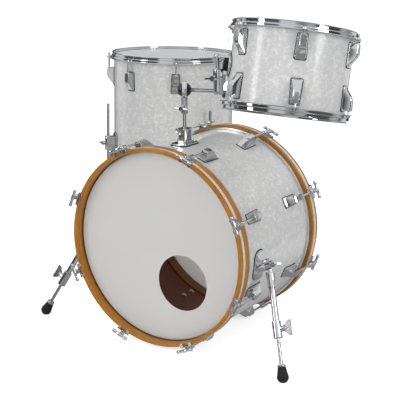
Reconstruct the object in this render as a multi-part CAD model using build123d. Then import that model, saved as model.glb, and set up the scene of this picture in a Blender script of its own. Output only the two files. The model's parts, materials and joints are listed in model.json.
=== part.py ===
from build123d import *
import math
import os

os.makedirs("parts", exist_ok=True)

# A three-drum shell set: bass drum, rack tom on a holder, floor tom on legs.
# Millimetres and degrees. Z is up and the front of the bass drum looks along -Y.

# Shells
INCH = 25.4
BASS_DIA = 20 * INCH
BASS_DEPTH = 14 * INCH
TOM_DIA = 12 * INCH
TOM_DEPTH = 8 * INCH
FLOOR_DIA = 16 * INCH
FLOOR_DEPTH = 16 * INCH
SHELL_WALL = 6.0
WRAP = 0.6
WRAP_BACK = 3.0
EDGE_FLAT = 1.5
EDGE_BEVEL = 4.0
RING_WALL = 4.5
RING_WIDTH = 38.0

# Clearances: pieces that sit on each other, and pieces that move in each other
SEAT = 0.3
RUN = 0.35

# Heads
FILM = 0.4
FILM_LIFT = 0.1
COLLAR_GAP = 0.4
FLESH_GAP = 1.2
FLESH_WALL = 5.4
TOM_SKIRT = 7.0
PORT_R = 75.0
PORT_X = 72.0
PORT_Y = -87.0

# Wood hoops of the bass drum, with their inlays
HOOP_OVER = 28.2
HOOP_WIDTH = 40.0
HOOP_REAR_WIDTH = 30.0
HOOP_GAP = 2.4
HOOP_THICK = 9.6
HOOP_ROUND = 2.5
INLAY_DEEP = 0.8
INLAY_WIDTH = 10.0
INLAY_FROM = 10.5
BASS_FLESH = 12.0

# Flanged hoops of the toms, measured from the shell edge
LIP_UP = 11.0
LIP_OUT = 4.5
HOOP_STEEL = 2.3
HOOP_CLEAR = 2.5
SHOULDER_UP = 1.0
FLANGE_DOWN = 9.8
FLANGE_OUT = 6.1
EAR_R = 8.5

# Lugs, swivel nuts, lug screws
LUG_LEN = 62.0
LUG_WIDTH = 28.0
LUG_CORNER = 9.0
LUG_FLANGE = 2.6
LUG_SINK = 1.6
LUG_BODY = 20.0
LUG_EDGE = 2.0
LUG_CREST = -3.0
LUG_ROOF = 6.5
LUG_ROUND = 2.0
LUG_WALL = 7.0
TOM_LUG_BACK = 48.0
FLOOR_LUG_BACK = 74.0
BASS_LUG_BACK = 81.0
NUT_R = 4.5
NUT_LEN = 21.0
NUT_PLAY = 0.2
SCREW_R = 2.0
SCREW_X = 20.0
SCREW_DEEP = 5.0
SCREW_HEAD = 4.5
SCREW_HEAD_UP = 3.2
WASHER_R = 7.0
WASHER_UP = 1.2
HOLE_PLAY = 0.3

# Tension rods: thread radius, distance of the rod line from the shell
ROD_R = 2.8
TOM_ROD_OUT = 17.0
BASS_ROD_OUT = 21.0
KEY_COLLAR_R = 5.0
KEY_COLLAR_UP = 3.0
KEY_SIDE = 6.5
KEY_UP = 9.0
ROD_WASHER_R = 6.5
ROD_WASHER_UP = 1.4

# Claws and T-handles of the bass drum
CLAW_STEEL = 2.8
CLAW_HALF = 20.0
CLAW_TAIL = 8.0
CLAW_LONG = 30.0
CLAW_NOTCH = 26.0
CLAW_HOOK = 9.0
CLAW_BOSS = 6.5
T_NECK_R = 4.4
T_NECK = 9.0
T_BAR_R = 4.2
T_BAR = 50.0

# Standing of the bass drum
BASS_TILT = 1.2

# Spurs
SPUR_ANGLE = 94.0
SPUR_BACK = -97.0
SPUR_OUT = 31.0
FOOT_RIGHT_X = 396.0
FOOT_RIGHT_Y = -221.0
FOOT_LEFT_X = 417.0
FOOT_LEFT_Y = -173.0
PLATE_SINK = 8.0
PAD_LONG = 78.0
PAD_WIDE = 48.0
PAD_UP = 4.0
PAD_CORNER = 20.0
PAD_ANGLE = 96.0
BOSS_R = 14.0
BOSS_LONG = 40.0
BOLT_R = 5.0
BOLT_OUT = 20.0
EYE_R = 16.0
EYE_THICK = 14.0
TUBE_R = 8.0
TUBE_LONG = 190.0
TUBE_SOLID = 30.0
CLAMP_R = 11.5
CLAMP_LONG = 42.0
SPUR_ROD_R = 4.8
SPUR_ROD_IN = 112.0
SPUR_COLLAR_R = 10.5
SPUR_COLLAR = 7.0
BULB_R = 15.0
BULB_TOP_R = 10.5
BULB_UP = 24.0
BULB_DROP = 12.0
BULB_PLAY = 0.1

# Wing screws and nuts
WING_SCREW_R = 3.0
WING_HUB_R = 7.0
WING_HUB = 9.0
WING_SPAN = 38.0
WING_TALL = 17.0
WING_THICK = 4.0
NUT_HUB_R = 9.0
BAR_R = 2.6
BAR_LONG = 40.0

# Tom holder, from the middle of the bass drum
POST_Y = -58.0
POST_R = 5.0
POST_LOW = 196.0
POST_TOP = 364.0
BASE_LONG = 72.0
BASE_WIDE = 46.0
BASE_UP = 4.0
BLOCK_LONG = 34.0
BLOCK_WIDE = 28.0
BLOCK_UP = 42.0
BASE_LOCK_UP = 28.0
COLLAR_R = 9.0
COLLAR_LOW = 336.0
COLLAR_LOCK_Z = 350.0
BALL_Z = 398.0
BALL_R = 19.0
STRAP_R = 23.0
STRAP_WIDE = 12.0
STRAP_ANGLE = 33.0
ARM_RISE_ANGLE = 5.0
ARM_R = 5.0
ARM_PAST = 27.0
HOUSING_R = 12.5
HOUSING_LOW = 7.5
HOUSING_HIGH = 56.0
HOUSING_LOCK = 34.0
PIN_R = 5.0
PIN_LOW = 14.0

# Rack tom, from the middle of the bass drum
TOM_X = 271.0
TOM_Y = 13.0
TOM_Z = 458.0
TOM_LEAN = 12.9
TOM_LUG_AT = 36.0
TOM_LUGS = 6
MOUNT_ANGLE = -54.0
MOUNT_UP = 14.0
MOUNT_DROP = 15.0
MOUNT_OUT = 34.0
MOUNT_R = 30.0
MOUNT_PAD = 5.0
MOUNT_CUP_R = 15.0
MOUNT_CUP = 12.0
MOUNT_STEM_R = 7.0
MOUNT_BALL_R = 9.0

# Floor tom
FLOOR_X = -532.0
FLOOR_Y = 682.0
FLOOR_RIM = 641.0
FLOOR_LEAN_ANGLE = 3.0
FLOOR_LUG_AT = 36.0
FLOOR_LUGS = 8
LEG_ANGLES = (-40.0, 66.0, 190.0)
LEG_OUT = 26.0
LEG_R = 4.75
LEG_TOP = 172.0
LEG_SOLE = 8.0
LEG_PAD_LONG = 66.0
LEG_PAD_WIDE = 42.0
LEG_PAD_UP = 4.0
LEG_PAD_SINK = 4.0
LEG_PAD_CORNER = 10.0
LEG_BLOCK_LONG = 46.0
LEG_BLOCK_WIDE = 24.0
LEG_BLOCK_PAST = 11.0
LEG_PAD_AT = -92.0
SOLE_R = 14.0
SOLE_TOP_R = 10.0
SOLE_UP = 40.0

# Worked-out sizes
BASS_LUGS = 8
BASS_R = BASS_DIA / 2
TOM_R = TOM_DIA / 2
FLOOR_R = FLOOR_DIA / 2
BASS_END = BASS_DEPTH / 2 + HOOP_OVER
HOOP_INNER = BASS_R + HOOP_GAP
HOOP_OUTER = HOOP_INNER + HOOP_THICK
TILT = math.radians(BASS_TILT)
BASS_HEIGHT = BASS_END * math.sin(TILT) + HOOP_OUTER * math.cos(TILT)
BASS = Location((0, 0, BASS_HEIGHT), (90 - BASS_TILT, 0, 0))
BASS_UP = Location((0, 0, BASS_HEIGHT), (-BASS_TILT, 0, 0))
TOM = BASS_UP * Location((TOM_X, TOM_Y, TOM_Z), (-TOM_LEAN, 0, 0))
FLOOR_LEAN = math.radians(FLOOR_LEAN_ANGLE)
FLOOR = Location((FLOOR_X, FLOOR_Y, FLOOR_RIM), (-FLOOR_LEAN_ANGLE, 0, 0))
FLOOR *= Location((0, 0, -LIP_UP - FLOOR_DEPTH / 2))
BASS_ANGLES = [360 / BASS_LUGS * (k + 0.5) for k in range(BASS_LUGS)]
TOM_ANGLES = [TOM_LUG_AT + 360 / TOM_LUGS * k for k in range(TOM_LUGS)]
FLOOR_ANGLES = [FLOOR_LUG_AT + 360 / FLOOR_LUGS * k for k in range(FLOOR_LUGS)]


def bar_x(radius, low, high, y=0.0, z=0.0):
    """Round bar along X."""
    return Pos((low + high) / 2, y, z) * Cylinder(radius, high - low, rotation=(0, 90, 0))


def bar_z(radius, low, high, x=0.0, y=0.0):
    """Round bar along Z."""
    return Pos(x, y, (low + high) / 2) * Cylinder(radius, high - low)


def slab(x0, x1, y0, y1, z0, z1):
    """Box from corner to corner."""
    return Pos((x0 + x1) / 2, (y0 + y1) / 2, (z0 + z1) / 2) * Box(x1 - x0, y1 - y0, z1 - z0)


def spun(points):
    """Solid of revolution round Z from (radius, height) points."""
    return revolve(Plane.XZ * make_face(Polyline(*points, close=True)), Axis.Z)


def polar(angle, flip=1):
    """Frame on a drum's axis: X along the axis, Z outward at an angle from -Y toward +X."""
    a = math.radians(angle)
    return Plane(origin=(0, 0, 0), x_dir=(0, 0, flip), z_dir=(math.sin(a), -math.cos(a), 0))


def group(solids):
    """Separate solids kept side by side in one node."""
    return Compound(list(solids))


# Shells, wraps, heads


def shell(dia, depth, cuts):
    """Wood shell with bearing edges, drilled for its screws."""
    out = dia / 2 - WRAP
    inn = dia / 2 - SHELL_WALL
    half = depth / 2
    body = spun([(inn, EDGE_BEVEL - half), (out - EDGE_FLAT, -half), (out, EDGE_FLAT - half),
                 (out, half - EDGE_FLAT), (out - EDGE_FLAT, half), (inn, half - EDGE_BEVEL)])
    return body - cuts


def end_ring(dia, depth, side):
    """Reinforcement ring inside one end of a shell."""
    out = dia / 2 - SHELL_WALL - SEAT / 2
    top = depth / 2 - EDGE_BEVEL - SEAT
    ring = spun([(out - RING_WALL, top - RING_WIDTH), (out, top - RING_WIDTH), (out, top),
                 (out - RING_WALL, top - RING_WALL)])
    return ring if side > 0 else mirror(ring, about=Plane.XY)


def wrap(dia, depth, cuts):
    """Thin pearl skin round a shell."""
    half = depth / 2 - WRAP_BACK
    return bar_z(dia / 2, -half, half) - bar_z(dia / 2 - WRAP, -half, half) - cuts


def film(dia, depth, skirt):
    """Head film with the collar that turns down over the shell edge."""
    edge = dia / 2 - WRAP - EDGE_FLAT
    low = depth / 2 + FILM_LIFT
    inn = dia / 2 + COLLAR_GAP
    turn = low - EDGE_FLAT
    return spun([(0, low), (edge, low), (inn, turn), (inn, low - skirt), (inn + FILM, low - skirt),
                 (inn + FILM, turn + FILM), (edge, low + FILM), (0, low + FILM)])


def flesh_hoop(dia, top, tall):
    """Metal ring that the film is bonded into."""
    inn = dia / 2 + FLESH_GAP
    return bar_z(inn + FLESH_WALL, top - tall, top) - bar_z(inn, top - tall, top)


# Lugs and their screws, built in the polar frame


def lug_case(seat, out):
    """Lug casing with its rod end toward +X, open above its swivel nut."""
    half = LUG_LEN / 2
    rod = seat + out
    top = rod + LUG_ROOF
    low = seat - LUG_SINK
    stop = half - LUG_WALL
    outline = Polyline((half - LUG_EDGE, low), (half - LUG_EDGE, top), (LUG_CREST, top),
                       (LUG_EDGE - half, seat + LUG_FLANGE), (LUG_EDGE - half, low), close=True)
    body = extrude(Plane.XZ * make_face(outline), LUG_BODY / 2, both=True)
    body = fillet(body.edges().group_by(Axis.Z)[-1], LUG_ROUND)
    plan = RectangleRounded(LUG_LEN, LUG_WIDTH, LUG_CORNER)
    case = body + extrude(Pos(0, 0, low) * plan, LUG_SINK + LUG_FLANGE)
    case -= bar_x(seat, -LUG_LEN, LUG_LEN)
    wide = NUT_R + NUT_PLAY
    case -= slab(stop - NUT_LEN - 2 * NUT_PLAY, stop, -wide, wide, rod - wide, top + 1)
    case -= bar_x(ROD_R + RUN, stop - 1, half + 1, 0, rod)
    for x in (-SCREW_X, SCREW_X):
        case -= bar_z(SCREW_R + NUT_PLAY, seat - LUG_SINK - 1, seat + SCREW_DEEP, x)
    return case


def swivel_nut(seat, out):
    """Threaded nut that lies in the lug."""
    stop = LUG_LEN / 2 - LUG_WALL - NUT_PLAY
    rod = seat + out
    return bar_x(NUT_R, stop - NUT_LEN, stop, 0, rod) - bar_x(ROD_R + NUT_PLAY, stop - NUT_LEN, stop, 0, rod)


def lug_screw(dia):
    """Screw and washer from inside the shell into the lug."""
    inner = dia / 2 - SHELL_WALL - SEAT
    tip = dia / 2 + SEAT + SCREW_DEEP - SEAT
    screw = bar_z(WASHER_R, inner - WASHER_UP, inner)
    screw += bar_z(SCREW_HEAD, inner - WASHER_UP - SCREW_HEAD_UP, inner - WASHER_UP)
    return screw + bar_z(SCREW_R, inner - WASHER_UP, tip)


def lug_places(depth, angles, back):
    """Frames of all lugs of a drum, both heads."""
    at = depth / 2 - back
    return [polar(a, flip) * Pos(at, 0, 0) for flip in (1, -1) for a in angles]


def lugs(dia, depth, angles, back, out):
    """All lug casings and nuts of one drum."""
    case = lug_case(dia / 2 + SEAT, out - SEAT)
    nut = swivel_nut(dia / 2 + SEAT, out - SEAT)
    return group(p * s for p in lug_places(depth, angles, back) for s in (case, nut))


def lug_screws(dia, depth, angles, back):
    """All lug screws of one drum."""
    screw = lug_screw(dia)
    places = lug_places(depth, angles, back)
    return group(p * Pos(x, 0, 0) * screw for p in places for x in (-SCREW_X, SCREW_X))


def screw_cuts(dia, depth, angles, back):
    """Clearance holes for the lug screws."""
    hole = bar_z(SCREW_R + HOLE_PLAY, dia / 2 - SHELL_WALL - 1, dia / 2 + 1)
    return [p * Pos(x, 0, 0) * hole for p in lug_places(depth, angles, back) for x in (-SCREW_X, SCREW_X)]


# Tom hoops and rods


def tom_hoop(dia, depth, angles, side):
    """Flanged steel hoop with an ear at each rod."""
    r = dia / 2 + HOOP_CLEAR
    edge = depth / 2
    wall = r + HOOP_STEEL
    skirt = dia / 2 + FLESH_GAP + FLESH_WALL + SEAT
    low = edge - FLANGE_DOWN
    rod = dia / 2 + TOM_ROD_OUT
    hoop = spun([(r, edge + LIP_UP), (r + LIP_OUT, edge + LIP_UP), (r + LIP_OUT, edge + LIP_UP - HOOP_STEEL),
                 (wall, edge + LIP_UP - HOOP_STEEL), (wall, edge + SHOULDER_UP),
                 (skirt + HOOP_STEEL, edge + SHOULDER_UP), (skirt + HOOP_STEEL, low + HOOP_STEEL),
                 (skirt + HOOP_STEEL + FLANGE_OUT, low + HOOP_STEEL), (skirt + HOOP_STEEL + FLANGE_OUT, low),
                 (skirt, low), (skirt, edge + SHOULDER_UP - HOOP_STEEL),
                 (r, edge + SHOULDER_UP - HOOP_STEEL)])
    ear = bar_x(EAR_R, low, low + HOOP_STEEL, 0, rod)
    hole = bar_x(ROD_R + RUN, low - 1, low + HOOP_STEEL + 1, 0, rod)
    for a in angles:
        hoop += polar(a) * ear
    for a in angles:
        hoop -= polar(a) * hole
    return hoop if side > 0 else mirror(hoop, about=Plane.XY)


def tension_rod(dia, depth, back):
    """Square-head rod from the hoop ear into the swivel nut."""
    rod = dia / 2 + TOM_ROD_OUT
    ear = depth / 2 - FLANGE_DOWN + HOOP_STEEL + SEAT / 2
    tip = depth / 2 - back + LUG_LEN / 2 - LUG_WALL - NUT_LEN
    head = ear + ROD_WASHER_UP
    body = bar_x(ROD_R, tip, head, 0, rod) + bar_x(ROD_WASHER_R, ear, head, 0, rod)
    body += bar_x(KEY_COLLAR_R, head, head + KEY_COLLAR_UP, 0, rod)
    side = KEY_SIDE / 2
    return body + slab(head, head + KEY_COLLAR_UP + KEY_UP, -side, side, rod - side, rod + side)


def tension_rods(dia, depth, angles, back):
    """All rods of one tom."""
    rod = tension_rod(dia, depth, back)
    return group(polar(a, flip) * rod for flip in (1, -1) for a in angles)


def tom_head(dia, depth, side):
    """Film and flesh hoop of one tom head."""
    top = depth / 2 + SHOULDER_UP - HOOP_STEEL - SEAT / 2
    parts = [film(dia, depth, TOM_SKIRT), flesh_hoop(dia, top, TOM_SKIRT)]
    if side < 0:
        parts = [mirror(p, about=Plane.XY) for p in parts]
    return group(parts)


# Bass drum hoops, claws and rods


def hoop_width(side):
    """Width of the front or rear wood hoop."""
    return HOOP_WIDTH if side > 0 else HOOP_REAR_WIDTH


def wood_hoop(side):
    """Wood hoop with a groove for its inlay."""
    low = BASS_END - hoop_width(side)
    hoop = bar_z(HOOP_OUTER, low, BASS_END) - bar_z(HOOP_INNER, low, BASS_END)
    hoop = fillet(hoop.edges().group_by(Axis.Z)[-1], HOOP_ROUND)
    near = BASS_END - INLAY_FROM
    far = near - INLAY_WIDTH
    hoop -= bar_z(HOOP_OUTER + 1, far, near) - bar_z(HOOP_OUTER - INLAY_DEEP, far, near)
    return hoop if side > 0 else mirror(hoop, about=Plane.XY)


def bass_head(side):
    """Film and flesh hoop of the front or rear head, the hoop against the wood hoop."""
    top = BASS_END - hoop_width(side) - SEAT / 2
    skirt = BASS_DEPTH / 2 - top + BASS_FLESH
    parts = film(BASS_DIA, BASS_DEPTH, skirt), flesh_hoop(BASS_DIA, top, BASS_FLESH)
    return parts if side > 0 else [mirror(part, about=Plane.XY) for part in parts]


def inlay(side):
    """Pearl strip in the groove of a wood hoop."""
    near = BASS_END - INLAY_FROM - SEAT / 2
    far = BASS_END - INLAY_FROM - INLAY_WIDTH + SEAT / 2
    strip = bar_z(HOOP_OUTER, far, near) - bar_z(HOOP_OUTER - INLAY_DEEP + SEAT / 2, far, near)
    return strip if side > 0 else mirror(strip, about=Plane.XY)


def claw():
    """Two-pronged claw over a wood hoop, bored for its rod."""
    front = BASS_END + SEAT
    face = front + CLAW_STEEL
    under = HOOP_OUTER + SEAT
    rod = BASS_R + BASS_ROD_OUT
    hook = HOOP_OUTER - CLAW_HOOK
    plan = Polyline((face, -CLAW_HALF), (face, CLAW_HALF), (face - CLAW_STEEL - 3, CLAW_HALF),
                    (face - CLAW_LONG, CLAW_TAIL), (face - CLAW_LONG, -CLAW_TAIL),
                    (face - CLAW_STEEL - 3, -CLAW_HALF), close=True)
    body = extrude(Pos(0, 0, under) * make_face(plan), CLAW_STEEL)
    body += slab(front, face, -CLAW_HALF, CLAW_HALF, hook, under + CLAW_STEEL)
    notch = CLAW_NOTCH / 2
    tips = HOOP_OUTER - HOOP_THICK / 3
    body -= slab(front - 1, face + 1, -notch, notch, hook - 1, tips)
    body += bar_x(CLAW_BOSS, face - CLAW_LONG, face, 0, rod)
    body += slab(face - CLAW_LONG, face, -CLAW_BOSS, CLAW_BOSS, under, rod)
    return body - bar_x(ROD_R + RUN, face - CLAW_LONG - 1, face + 1, 0, rod)


def t_rod():
    """Rod with a cross handle, from the claw into the swivel nut."""
    rod = BASS_R + BASS_ROD_OUT
    seat = BASS_END + SEAT + CLAW_STEEL + SEAT / 2
    tip = BASS_DEPTH / 2 - BASS_LUG_BACK + LUG_LEN / 2 - LUG_WALL - NUT_LEN
    head = seat + ROD_WASHER_UP
    bar = head + T_NECK
    body = bar_x(ROD_R, tip, head, 0, rod) + bar_x(ROD_WASHER_R, seat, head, 0, rod)
    return body + bar_x(T_NECK_R, head, bar, 0, rod)


def t_bar():
    """Cross handle of a rod, level with the tangent of the hoop."""
    half = T_BAR / 2 - T_BAR_R
    bar = Cylinder(T_BAR_R, 2 * half, rotation=(90, 0, 0))
    return bar + Pos(0, half, 0) * Sphere(T_BAR_R) + Pos(0, -half, 0) * Sphere(T_BAR_R)


def t_rods():
    """All rods of the bass drum; the two lowest rear handles lie level, clear of the floor."""
    rod = BASS_R + BASS_ROD_OUT
    at = BASS_END + SEAT + CLAW_STEEL + SEAT / 2 + ROD_WASHER_UP + T_NECK
    step = 360 / BASS_LUGS / 2
    out = []
    for flip in (1, -1):
        for a in BASS_ANGLES:
            low = flip < 0 and math.cos(math.radians(a)) > math.cos(math.radians(step + 1))
            turn = (step if a < 180 else -step) if low else 0
            bar = Pos(at, 0, rod) * Rot(turn, 0, 0) * t_bar()
            out.append(polar(a, flip) * (t_rod() + bar))
    return group(out)


# Screws turned by hand


def wing_screw(tip, hub):
    """Wing screw along X: thread from the tip, hub and wings past the hub face."""
    body = bar_x(WING_SCREW_R, tip, hub) + bar_x(WING_HUB_R, hub, hub + WING_HUB)
    half = WING_SPAN / 2
    plan = Polyline((hub + 1, -WING_HUB_R + 1), (hub + 1, WING_HUB_R - 1), (hub + WING_TALL * 0.55, half),
                    (hub + WING_TALL, half * 0.92), (hub + WING_HUB - 1, 0), (hub + WING_TALL, -half * 0.92),
                    (hub + WING_TALL * 0.55, -half), close=True)
    return body + extrude(Pos(0, 0, -WING_THICK / 2) * make_face(plan), WING_THICK)


def wing_nut(face, bore):
    """Wing nut along X on a bolt."""
    half = WING_SPAN / 2
    plan = Polyline((face + 2, -NUT_HUB_R + 1), (face + 2, NUT_HUB_R - 1), (face + WING_TALL * 0.6, half),
                    (face + WING_TALL, half * 0.9), (face + WING_HUB, NUT_HUB_R - 1),
                    (face + WING_HUB, 1 - NUT_HUB_R), (face + WING_TALL, -half * 0.9),
                    (face + WING_TALL * 0.6, -half), close=True)
    body = bar_x(NUT_HUB_R, face, face + WING_HUB)
    body += extrude(Pos(0, 0, -WING_THICK / 2) * make_face(plan), WING_THICK)
    return body - bar_x(bore, face - 1, face + WING_TALL + 1)


def bar_screw(tip, hub):
    """Lock screw along X with a cross bar."""
    body = bar_x(WING_SCREW_R, tip, hub) + bar_x(WING_HUB_R - 1, hub, hub + WING_HUB)
    return body + Pos(hub + WING_HUB / 2 + 1, 0, 0) * Cylinder(BAR_R, BAR_LONG, rotation=(90, 0, 0))


# Spurs, in the standing frame


def standing(point):
    """Point of the upright bass frame as it stands."""
    return (BASS_UP * Location(point)).position


def foot_place(side):
    """Where a spur stands on the floor."""
    return Vector(FOOT_RIGHT_X, FOOT_RIGHT_Y, 0) if side > 0 else Vector(-FOOT_LEFT_X, FOOT_LEFT_Y, 0)


def spur_plane(side):
    """Frame of a spur at its pivot: Z down the leg, X out along the pivot bolt."""
    a = math.radians(SPUR_ANGLE)
    reach = BASS_R + SPUR_OUT
    pivot = standing((side * reach * math.sin(a), SPUR_BACK, reach * math.cos(a)))
    leg = (foot_place(side) - pivot).normalized()
    outward = Vector(side, 0, 0)
    bolt = (outward - leg * outward.dot(leg)).normalized()
    return Plane(origin=pivot, x_dir=bolt, z_dir=leg)


def spur_length(side):
    """Distance from pivot to floor along the leg."""
    return (foot_place(side) - spur_plane(side).origin).length


def spur_bracket(side):
    """Pad on the shell with the boss and bolt that the spur turns on."""
    seat = BASS_R + SEAT
    plan = Pos(-SPUR_BACK, 0, seat - PLATE_SINK) * RectangleRounded(PAD_WIDE, PAD_LONG, PAD_CORNER)
    pad = extrude(plan, PLATE_SINK + PAD_UP)
    body = BASS * (polar(180 - side * PAD_ANGLE) * pad)
    back = -EYE_THICK / 2 - RUN
    body += spur_plane(side) * bar_x(BOSS_R, back - BOSS_LONG, back)
    body -= BASS * bar_z(seat, -BASS_END, BASS_END)
    return body + spur_plane(side) * bar_x(BOLT_R, back - 1, BOLT_OUT)


def spur_tube(side):
    """Outer tube with pivot eye and end clamp."""
    half = EYE_THICK / 2
    bore = SPUR_ROD_R + RUN
    clamp = TUBE_LONG - CLAMP_LONG
    body = bar_x(EYE_R, -half, half) + bar_z(TUBE_R, EYE_R - SEAT * 5, TUBE_LONG)
    body += bar_z(CLAMP_R, clamp, TUBE_LONG)
    body -= bar_x(BOLT_R + RUN, -half - 1, half + 1)
    body -= bar_z(bore, EYE_R + TUBE_SOLID, TUBE_LONG + 1)
    mid = TUBE_LONG - CLAMP_LONG / 2
    body += bar_x(WING_HUB_R, bore + 1, CLAMP_R + 3, 0, mid)
    body -= bar_x(WING_SCREW_R + RUN, 0, CLAMP_R + 4, 0, mid)
    return spur_plane(side) * body


def spur_wing(side):
    """Wing screw of the end clamp."""
    mid = TUBE_LONG - CLAMP_LONG / 2
    screw = Rot(90, 0, 0) * wing_screw(SPUR_ROD_R + RUN, CLAMP_R + 3 + RUN)
    return spur_plane(side) * (Pos(0, 0, mid) * screw)


def spur_pivot_wing(side):
    """Wing nut on the pivot bolt."""
    return spur_plane(side) * wing_nut(EYE_THICK / 2 + RUN, BOLT_R + RUN)


def bulb_at(side):
    """Distance down the leg to the middle of the rubber bulb."""
    return spur_length(side) + BULB_DROP / spur_plane(side).z_dir.Z


def spur_rod(side):
    """Inner rod with its lock collar."""
    mid = bulb_at(side)
    top = mid - BULB_UP - SEAT
    rod = bar_z(SPUR_ROD_R, SPUR_ROD_IN, mid) + bar_z(SPUR_COLLAR_R, top - SPUR_COLLAR, top)
    return spur_plane(side) * rod


def spur_foot(side):
    """Rubber bulb with a flat where it stands on the floor."""
    mid = bulb_at(side)
    cone = Pos(0, 0, mid - BULB_UP / 2) * Cone(BULB_TOP_R, BULB_R * 0.99, BULB_UP)
    bulb = cone + Pos(0, 0, mid) * Sphere(BULB_R)
    bulb -= bar_z(SPUR_ROD_R + BULB_PLAY, mid - BULB_UP - 1, mid + BULB_PLAY)
    low = 4 * BULB_R
    here = foot_place(side)
    return spur_plane(side) * bulb - Pos(here.X, here.Y, -low / 2) * Box(4 * low, 4 * low, low)


# Tom holder, in the upright bass frame


def tom_point(out, up):
    """Point on the tom's mount line in the upright bass frame."""
    a = math.radians(MOUNT_ANGLE)
    at = Location((TOM_X, TOM_Y, TOM_Z), (-TOM_LEAN, 0, 0))
    return (at * Location((out * math.sin(a), -out * math.cos(a), up))).position


def arm_plane(pin):
    """Frame of the arm at the ball: X along the arm, which rises toward the tom."""
    rise = math.radians(ARM_RISE_ANGLE)
    level = Vector(pin.X, pin.Y - POST_Y, 0).normalized()
    along = level * math.cos(rise) + Vector(0, 0, math.sin(rise))
    up = Vector(0, 0, math.cos(rise)) - level * math.sin(rise)
    return Plane(origin=(0, POST_Y, BALL_Z), x_dir=along, z_dir=up)


PIN = tom_point(TOM_R + MOUNT_OUT, MOUNT_UP)
ARM_PLANE = arm_plane(PIN)
ARM_LONG = (PIN - ARM_PLANE.origin).dot(ARM_PLANE.x_dir)
PIN_TOP = (PIN - ARM_PLANE.origin).dot(ARM_PLANE.z_dir)
STRAP_TURN = math.radians(STRAP_ANGLE)
STRAP_SIDE = Vector(math.cos(STRAP_TURN), math.sin(STRAP_TURN), 0)
HEAD_PLANE = Plane(origin=(0, POST_Y, BALL_Z), x_dir=STRAP_SIDE, z_dir=(0, 0, 1))


def holder_base():
    """Base plate and clamp block on top of the bass shell."""
    seat = BASS_R + SEAT
    plan = Pos(0, POST_Y, seat - PLATE_SINK) * RectangleRounded(BASE_WIDE, BASE_LONG, BASE_WIDE / 4)
    block = Pos(0, POST_Y, seat) * RectangleRounded(BLOCK_WIDE, BLOCK_LONG, BLOCK_WIDE / 4)
    body = extrude(plan, PLATE_SINK + BASE_UP) + extrude(block, BLOCK_UP)
    body -= Rot(90, 0, 0) * bar_z(seat, -BASS_END, BASS_END)
    body -= bar_z(POST_R + RUN, 0, seat + BLOCK_UP + 1, 0, POST_Y)
    body -= bar_x(WING_SCREW_R + RUN, -BLOCK_WIDE, 0, POST_Y, seat + BASE_LOCK_UP)
    return BASS_UP * body


def holder_base_lock():
    """Cross-bar screw that grips the post in the base."""
    at = Plane(origin=(0, POST_Y, BASS_R + SEAT + BASE_LOCK_UP), x_dir=(-1, 0, 0), z_dir=(0, 0.7, 0.7))
    return BASS_UP * (at * bar_screw(POST_R + RUN, BLOCK_WIDE / 2 + RUN))


def holder_post():
    """Round post."""
    return BASS_UP * bar_z(POST_R, POST_LOW, POST_TOP, 0, POST_Y)


def holder_head():
    """Collar on the post with the strap round the ball."""
    collar = bar_z(COLLAR_R, COLLAR_LOW, BALL_Z - (BALL_R + STRAP_R) / 2, 0, POST_Y)
    strap = HEAD_PLANE * bar_x(STRAP_R, -STRAP_WIDE / 2, STRAP_WIDE / 2)
    body = collar + strap - HEAD_PLANE * (Rot(0, 90, 0) * Sphere(BALL_R + RUN))
    body -= bar_z(POST_R + RUN, COLLAR_LOW - 1, POST_TOP + RUN, 0, POST_Y)
    lock = Plane(origin=(0, POST_Y, COLLAR_LOCK_Z), x_dir=(0, -1, 0), z_dir=(0, 0, 1))
    return BASS_UP * (body - lock * bar_x(WING_SCREW_R + RUN, 0, COLLAR_R + 1))


def holder_head_lock():
    """Cross-bar screw that grips the post in the collar."""
    at = Plane(origin=(0, POST_Y, COLLAR_LOCK_Z), x_dir=(0, -1, 0), z_dir=(0, 0, 1))
    return BASS_UP * (at * bar_screw(POST_R + RUN, COLLAR_R + RUN))


def holder_ball():
    """Ball bored for the arm."""
    return BASS_UP * (ARM_PLANE * (Sphere(BALL_R) - bar_x(ARM_R + RUN, -2 * BALL_R, 2 * BALL_R)))


def holder_arm():
    """Level arm with the upright housing for the tom's pin."""
    body = bar_x(ARM_R, -ARM_PAST, ARM_LONG) + bar_z(HOUSING_R, -HOUSING_LOW, HOUSING_HIGH, ARM_LONG)
    body -= bar_z(PIN_R + RUN, PIN_LOW - RUN, HOUSING_HIGH + 1, ARM_LONG)
    lock = Pos(ARM_LONG, 0, HOUSING_LOCK) * Rot(0, 0, -90)
    return BASS_UP * (ARM_PLANE * (body - lock * bar_x(WING_SCREW_R + RUN, 0, HOUSING_R + 1)))


def holder_arm_wing():
    """Wing screw that grips the tom's pin."""
    lock = Pos(ARM_LONG, 0, HOUSING_LOCK) * Rot(0, 0, -90)
    return BASS_UP * (ARM_PLANE * (lock * wing_screw(PIN_R + RUN, HOUSING_R + RUN)))


def tom_bracket():
    """Round pad and cup on the tom shell, stem and upright pin."""
    seat = TOM_R + SEAT
    low = MOUNT_UP - MOUNT_DROP
    pad = bar_z(MOUNT_R, seat - PLATE_SINK, seat + MOUNT_PAD, low)
    pad += bar_z(MOUNT_CUP_R, seat, TOM_R + MOUNT_CUP, low)
    pad += bar_z(MOUNT_STEM_R, seat, TOM_R + MOUNT_OUT, MOUNT_UP)
    body = TOM * (polar(MOUNT_ANGLE) * pad)
    body -= TOM * bar_z(seat, -TOM_DEPTH, TOM_DEPTH)
    body += BASS_UP * (Pos(PIN.X, PIN.Y, PIN.Z) * Sphere(MOUNT_BALL_R))
    return body + BASS_UP * (ARM_PLANE * bar_z(PIN_R, PIN_LOW, PIN_TOP, ARM_LONG))


# Legs of the floor tom, in its own frame


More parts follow.
